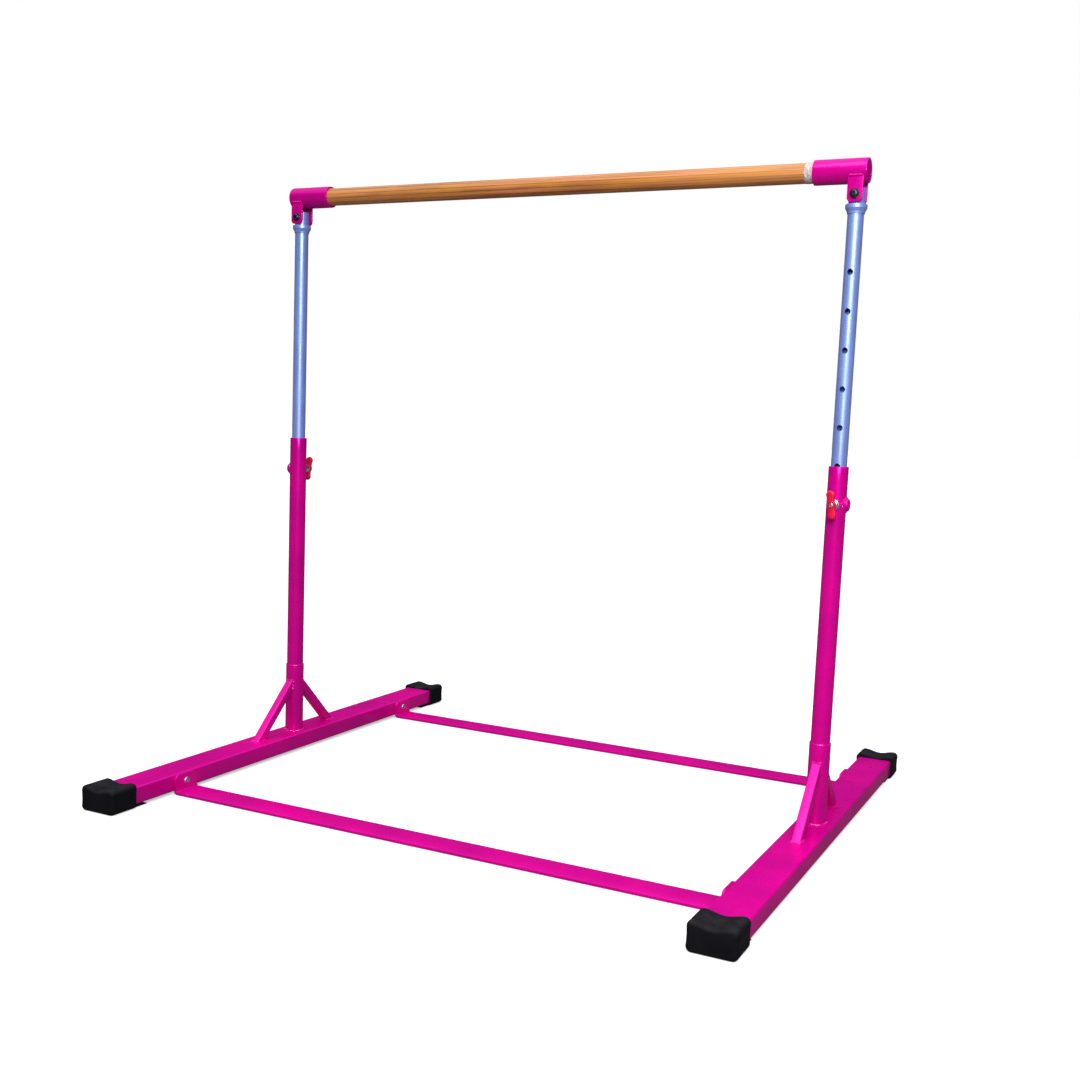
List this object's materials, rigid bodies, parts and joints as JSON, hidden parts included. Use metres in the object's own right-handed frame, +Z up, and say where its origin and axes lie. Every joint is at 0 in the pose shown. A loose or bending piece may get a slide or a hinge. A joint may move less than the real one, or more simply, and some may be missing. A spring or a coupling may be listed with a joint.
{
  "type": "gymnastics kip bar",
  "caption": "Free-standing practice bar: wooden rail on telescopic posts with pull-pin locks, two welded side frames on rubber boots, joined by flat cross bars.",
  "frame": {"origin": "on the floor, half way between the two posts", "axes": "+X along the wooden bar, +Y from the front to the rear along the floor rails, +Z up"},
  "size_m": [1.437, 1.3, 1.384],
  "materials": {
    "frame_paint": "gloss magenta powder coat",
    "upright_zinc": "satin zinc plate",
    "bar_wood": "varnished laminated wood",
    "boot_rubber": "matt black moulded rubber",
    "fastener_steel": "bright zinc-plated steel",
    "knob_plastic": "red moulded plastic",
    "clear_tape": "translucent white tape"
  },
  "bodies": {
    "base": {"floor_rail_left": "frame_paint", "post_socket_left": "frame_paint", "post_sleeve_left": "frame_paint", "side_boss_left": "frame_paint", "brace_front_left": "frame_paint", "end_boot_front_left": "boot_rubber", "cross_bolt_front_left": "fastener_steel", "cross_nut_front_left": "fastener_steel", "brace_rear_left": "frame_paint", "end_boot_rear_left": "boot_rubber", "cross_bolt_rear_left": "fastener_steel", "cross_nut_rear_left": "fastener_steel", "lock_spring_left": "fastener_steel", "lock_boss_left": "fastener_steel", "floor_rail_right": "frame_paint", "post_socket_right": "frame_paint", "post_sleeve_right": "frame_paint", "side_boss_right": "frame_paint", "brace_front_right": "frame_paint", "end_boot_front_right": "boot_rubber", "cross_bolt_front_right": "fastener_steel", "cross_nut_front_right": "fastener_steel", "brace_rear_right": "frame_paint", "end_boot_rear_right": "boot_rubber", "cross_bolt_rear_right": "fastener_steel", "cross_nut_rear_right": "fastener_steel", "lock_spring_right": "fastener_steel", "lock_boss_right": "fastener_steel", "cross_bar_front": "frame_paint", "cross_bar_rear": "frame_paint"},
    "upper_frame": {"bar_socket_left": "frame_paint", "socket_end_disc_left": "frame_paint", "socket_ear_front_left": "frame_paint", "socket_ear_rear_left": "frame_paint", "upright_left": "upright_zinc", "upright_collar_left": "upright_zinc", "clevis_bolt_left": "fastener_steel", "clevis_nut_left": "fastener_steel", "clevis_washer_left": "fastener_steel", "bar_screw_left": "fastener_steel", "bar_socket_right": "frame_paint", "socket_end_disc_right": "frame_paint", "socket_ear_front_right": "frame_paint", "socket_ear_rear_right": "frame_paint", "upright_right": "upright_zinc", "upright_collar_right": "upright_zinc", "clevis_bolt_right": "fastener_steel", "clevis_nut_right": "fastener_steel", "clevis_washer_right": "fastener_steel", "bar_screw_right": "fastener_steel", "wooden_bar": "bar_wood", "bar_tape": "clear_tape"},
    "right_lock_pin": {"lock_pin_right": "fastener_steel"},
    "right_lock_knob": {"lock_knob_right": "knob_plastic", "knob_nut_right": "fastener_steel"},
    "left_lock_pin": {"lock_pin_left": "fastener_steel"},
    "left_lock_knob": {"lock_knob_left": "knob_plastic", "knob_nut_left": "fastener_steel"}
  },
  "joints": [
    {"name": "height_adjust", "type": "slide", "parent": "base", "child": "upper_frame", "axis": [0, 0, 1], "range_m": [-0.4572, 0.1524]},
    {"name": "right_lock_pull", "type": "slide", "parent": "base", "child": "right_lock_pin", "axis": [0, -1, 0], "range_m": [0, 0.0075], "stiffness_N_per_m": 900, "springref_m": -0.006, "deforming": ["lock_spring_right"]},
    {"name": "right_knob_turn", "type": "hinge", "parent": "right_lock_pin", "child": "right_lock_knob", "pos_m": [0.673, -0.04, 0.707], "axis": [0, -1, 0], "continuous": true},
    {"name": "left_lock_pull", "type": "slide", "parent": "base", "child": "left_lock_pin", "axis": [0, 1, 0], "range_m": [0, 0.0075], "stiffness_N_per_m": 900, "springref_m": -0.006, "deforming": ["lock_spring_left"]},
    {"name": "left_knob_turn", "type": "hinge", "parent": "left_lock_pin", "child": "left_lock_knob", "pos_m": [-0.673, 0.04, 0.707], "axis": [0, 1, 0], "continuous": true}
  ]
}
